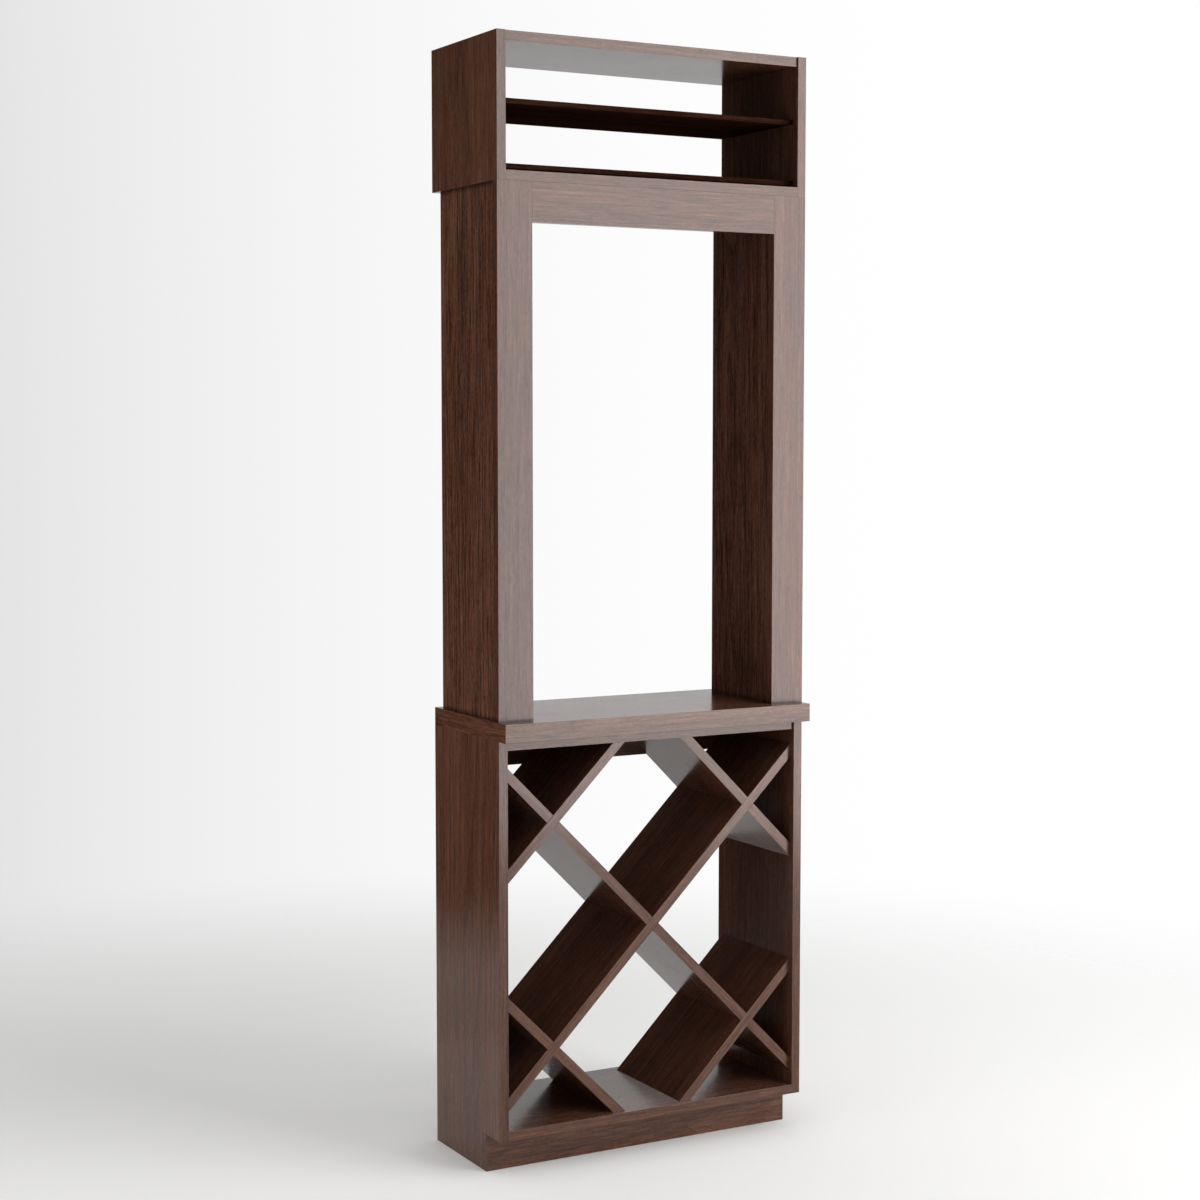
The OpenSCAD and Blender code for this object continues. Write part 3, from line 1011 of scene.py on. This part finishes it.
@dataclass
class Fittings:
    """The blocks, dowels, pins and screws, whose solids stay and get their finish here."""

    beech_dark: Colour = (0.42, 0.26, 0.14)
    beech_light: Colour = (0.66, 0.47, 0.29)
    block_dark: Colour = (0.36, 0.24, 0.12)
    block_light: Colour = (0.60, 0.44, 0.26)

    def build(self) -> list[Object]:
        """Dresses the solids that stay.

        Returns:
            The dressed solids.
        """
        dowel = BareTimber("beech_dowel", self.beech_dark, self.beech_light, Grain.ACROSS)
        block = BareTimber("hardwood_block", self.block_dark, self.block_light, Grain.INWARD)
        kinds = [
            (Slot.DOWEL, dowel.material(), DOWEL_NODES),
            (Slot.BLOCK, block.material(), BLOCK_NODES),
            (Slot.SCREW, ZincPlate().material(), SCREW_NODES),
        ]
        dressed = []
        for slot, material, nodes in kinds:
            for node in nodes:
                solid = frame["nodes"][node]
                solid.data.materials.clear()
                solid.data.materials.append(material)
                dressed.append(solid)
        return dressed


@dataclass
class StudioCamera:
    """The camera, standing where the photograph was taken from."""

    place: Triple = (-2.2333, -3.9363, 1.4441)
    yaw: float = 28.966
    pitch: float = -4.362
    lens: float = 67.75
    sensor: float = 36.0

    @property
    def rightwards(self) -> Triple:
        """The unit vector to the right in the picture."""
        turn = math.radians(self.yaw)
        return (math.cos(turn), -math.sin(turn), 0.0)

    @property
    def half_view(self) -> float:
        """How far to the right a unit vector to the picture's edge reaches."""
        return math.sin(math.atan(self.sensor / 2 / self.lens))

    def build(self) -> None:
        """Sets the camera up."""
        camera = bpy.data.cameras.new("camera")
        camera.lens = self.lens
        camera.sensor_width = self.sensor
        made = bpy.data.objects.new("camera", camera)
        made.location = self.place
        made.rotation_euler = (math.radians(90 + self.pitch), 0, -math.radians(self.yaw))
        bpy.context.scene.collection.objects.link(made)
        bpy.context.scene.camera = made


@dataclass
class SoftBox:
    """A rectangular studio lamp with a cloth front."""

    name: str
    place: Vector
    aim: Vector
    width: float
    height: float
    radiance: float
    mirrored: bool = True
    lights: bool = True

    def build(self) -> None:
        """Sets the lamp up, turned to what it lights."""
        lamp = bpy.data.lights.new(self.name, "AREA")
        lamp.shape = "RECTANGLE"
        lamp.size = self.width
        lamp.size_y = self.height
        # A rectangular lamp gives a quarter of its power over its area as radiance
        lamp.energy = 4 * self.width * self.height * self.radiance
        made = bpy.data.objects.new(self.name, lamp)
        turn = (self.aim - self.place).to_track_quat("-Z", "Y").to_matrix().to_4x4()
        made.matrix_world = Matrix.Translation(self.place) @ turn
        made.visible_camera = False
        made.visible_glossy = self.mirrored
        made.visible_diffuse = self.lights
        bpy.context.scene.collection.objects.link(made)


@dataclass
class Background:
    """The white background, which falls off a little to the left of the picture."""

    ambient: float = 0.38
    loss: float = 0.225
    fall: float = 2.8
    mirrored: float = 0.79

    def build(self, camera: StudioCamera) -> None:
        """Paints the world, with a plain soft light for all but direct sight and reflections.

        Args:
            camera: The camera that sees the background.
        """
        world = bpy.data.worlds.new("studio")
        bpy.context.scene.world = world
        world.use_nodes = True
        tree = world.node_tree
        tree.nodes.clear()
        spot = add_node(tree, "TexCoord").outputs["Generated"]
        side = reckon_vector(tree, "DOT_PRODUCT", spot, camera.rightwards).outputs["Value"]
        left = between(tree, side, (camera.half_view, -camera.half_view))
        fall = reckon(tree, "POWER", left, self.fall)
        white = reckon(tree, "MULTIPLY_ADD", fall, -self.loss, 1.0)
        path = add_node(tree, "LightPath")
        strength = reckon(tree, "MULTIPLY_ADD", path.outputs["Is Glossy Ray"],
                          self.mirrored - 1.0, 1.0)
        seen = add_node(tree, "Background", {"Color": white, "Strength": strength})
        soft = add_node(tree, "Background", {"Color": (1.0, 1.0, 1.0, 1.0),
                                             "Strength": self.ambient})
        either = reckon(tree, "MAXIMUM", path.outputs["Is Camera Ray"],
                        path.outputs["Is Glossy Ray"])
        shown = reckon(tree, "MAXIMUM", either, path.outputs["Is Transmission Ray"])
        add_node(tree, "OutputWorld", {"Surface": mix_shaders(tree, shown, soft, seen)})


@dataclass
class Floor:
    """The pale floor, which fades into the background away from the cabinet."""

    radius: float = 5.0
    segments: int = 128
    colour: Colour = (0.86, 0.855, 0.845)
    glow: float = 0.235
    glow_mirrored: float = 0.25
    glow_slope: Triple = (0.03, -0.03, 0.0)
    glow_front: float = 0.11
    painted_shadow_reach: float = 0.12
    fade_centre: Triple = (-0.35, 0.0, 0.0)
    fade_span: Pair = (0.9, 3.1)

    def build(self) -> None:
        """Lays the floor."""
        disc = bmesh.new()
        bmesh.ops.create_circle(disc, cap_ends=True, segments=self.segments, radius=self.radius)
        floor = new_object("floor", disc)
        floor.data.materials.append(self.material())

    def material(self) -> Material:
        """Makes the floor's finish.

        Returns:
            The material.
        """
        made = bpy.data.materials.new("floor")
        made.use_nodes = True
        tree = made.node_tree
        tree.nodes.clear()
        spot = add_node(tree, "TexCoord").outputs["Object"]
        far = reckon_vector(tree, "DISTANCE", spot, self.fade_centre).outputs["Value"]
        fade = between(tree, far, self.fade_span, smooth=True)
        matt = add_node(tree, "BsdfDiffuse", {"Color": (*self.colour, 1.0)})
        near = add_node(tree, "AddShader", {0: matt.outputs[0], 1: self.lit(tree, spot)})
        clear = add_node(tree, "BsdfTransparent")
        add_node(tree, "OutputMaterial", {"Surface": mix_shaders(tree, fade, near, clear)})
        return made

    def lit(self, tree: NodeTree, spot: NodeSocket) -> NodeSocket:
        """Adds the floor's glow, a painted light that slopes across the floor and is weaker where it
        is mirrored, with a painted contact shadow close to the cabinet.

        Args:
            tree: The tree that gets the nodes.
            spot: The object's coordinates.

        Returns:
            The glow's shader.
        """
        slope = reckon_vector(tree, "DOT_PRODUCT", spot, self.glow_slope).outputs["Value"]
        axes = add_node(tree, "SeparateXYZ", {0: spot})
        front = reckon(tree, "MINIMUM", axes.outputs["Y"], 0.0)
        sloped = reckon(tree, "MULTIPLY_ADD", front, self.glow_front, slope)
        level = add_node(tree, "Math", {0: sloped, 1: self.glow}, operation="ADD", use_clamp=True)
        # Painted contact shadow: the glow is darkened where the cabinet is near.
        painted_contact_shadow = add_node(tree, "AmbientOcclusion", {"Distance": self.painted_shadow_reach})
        even = reckon(tree, "MULTIPLY", level.outputs[0], painted_contact_shadow.outputs["AO"])
        path = add_node(tree, "LightPath")
        seen = reckon(tree, "MULTIPLY_ADD", path.outputs["Is Glossy Ray"], self.glow_mirrored,
                      path.outputs["Is Camera Ray"])
        strength = reckon(tree, "MULTIPLY", seen, even)
        return add_node(tree, "Emission", {"Strength": strength}).outputs[0]


@dataclass
class Flag:
    """A black flag behind on the left, which only reflections see.

    The left part of its foot is a scrim, so that the side still reflects some of the floor.
    """

    left: Pair = (-1.32, 0.27)
    right: Pair = (0.35, 1.78)
    height: float = 2.8
    scrim_share: float = 0.75
    scrim_top: Pair = (0.18, 0.34)
    scrim_side: Pair = (-0.62, -0.42)

    def build(self) -> None:
        """Hangs the flag."""
        sheet = bmesh.new()
        corners = [(*self.left, 0.0), (*self.right, 0.0),
                   (*self.right, self.height), (*self.left, self.height)]
        sheet.faces.new([sheet.verts.new(corner) for corner in corners])
        made = new_object("flag", sheet)
        made.data.materials.append(self.material())
        made.visible_camera = False
        made.visible_diffuse = False
        made.visible_transmission = False
        made.visible_shadow = False

    def material(self) -> Material:
        """Makes the flag's cloth.

        Returns:
            The material.
        """
        made = bpy.data.materials.new("flag")
        made.use_nodes = True
        tree = made.node_tree
        tree.nodes.clear()
        spot = add_node(tree, "TexCoord").outputs["Object"]
        axes = add_node(tree, "SeparateXYZ", {0: spot})
        above = between(tree, axes.outputs["Z"], self.scrim_top, (1 - self.scrim_share, 1.0))
        beside = between(tree, axes.outputs["X"], self.scrim_side)
        clear = add_node(tree, "BsdfTransparent")
        cloth = add_node(tree, "BsdfDiffuse", {"Color": (0.0, 0.0, 0.0, 1.0)})
        solid = reckon(tree, "MAXIMUM", above, beside)
        add_node(tree, "OutputMaterial", {"Surface": mix_shaders(tree, solid, clear, cloth)})
        return made


@dataclass
class Studio:
    """The camera and everything around the cabinet."""

    camera: StudioCamera = field(default_factory=StudioCamera)
    background: Background = field(default_factory=Background)
    floor: Floor = field(default_factory=Floor)
    flag: Flag = field(default_factory=Flag)
    lamps: list[SoftBox] = field(default_factory=lambda: [
        SoftBox("key_softbox", place=Vector((1.78, -2.84, 1.85)), aim=Vector((0, 0, 1.65)),
                width=1.95, height=3.4, radiance=3.45, mirrored=False),
        SoftBox("sheen_softbox", place=Vector((1.78, -2.84, 1.77)), aim=Vector((0, 0, 1.77)),
                width=1.95, height=3.5, radiance=3.05, lights=False),
        SoftBox("fill_softbox", place=Vector((2.2, -1.6, 2.2)), aim=Vector((0, 0, 1.9)),
                width=1.2, height=2.4, radiance=2.0, mirrored=False),
        SoftBox("side_softbox", place=Vector((-3.2, -0.1, 0.9)), aim=Vector((-0.3, 0, 0.8)),
                width=1.0, height=2.4, radiance=3.0, mirrored=False),
    ])

    def build(self) -> None:
        """Sets up everything that isn't part of the cabinet."""
        self.camera.build()
        for lamp in self.lamps:
            lamp.build()
        self.background.build(self.camera)
        self.floor.build()
        self.flag.build()
        bpy.context.scene.view_settings.view_transform = "Standard"


def main() -> None:
    """Builds the studio and the cabinet, one sub-assembly after the other."""
    logging.basicConfig(level=logging.INFO, format="%(message)s")
    Studio().build()
    holes = FittingHoles()
    for assembly in (Base(), Table(), Columns(), TopBox()):
        for board in assembly.parts():
            piece = board.build(holes)
            LOG.info("%s: %d faces", piece.name, len(piece.data.polygons))
    for solid in Fittings().build():
        LOG.info("%s: solid kept", solid.name)


if __name__ == "__main__":
    main()
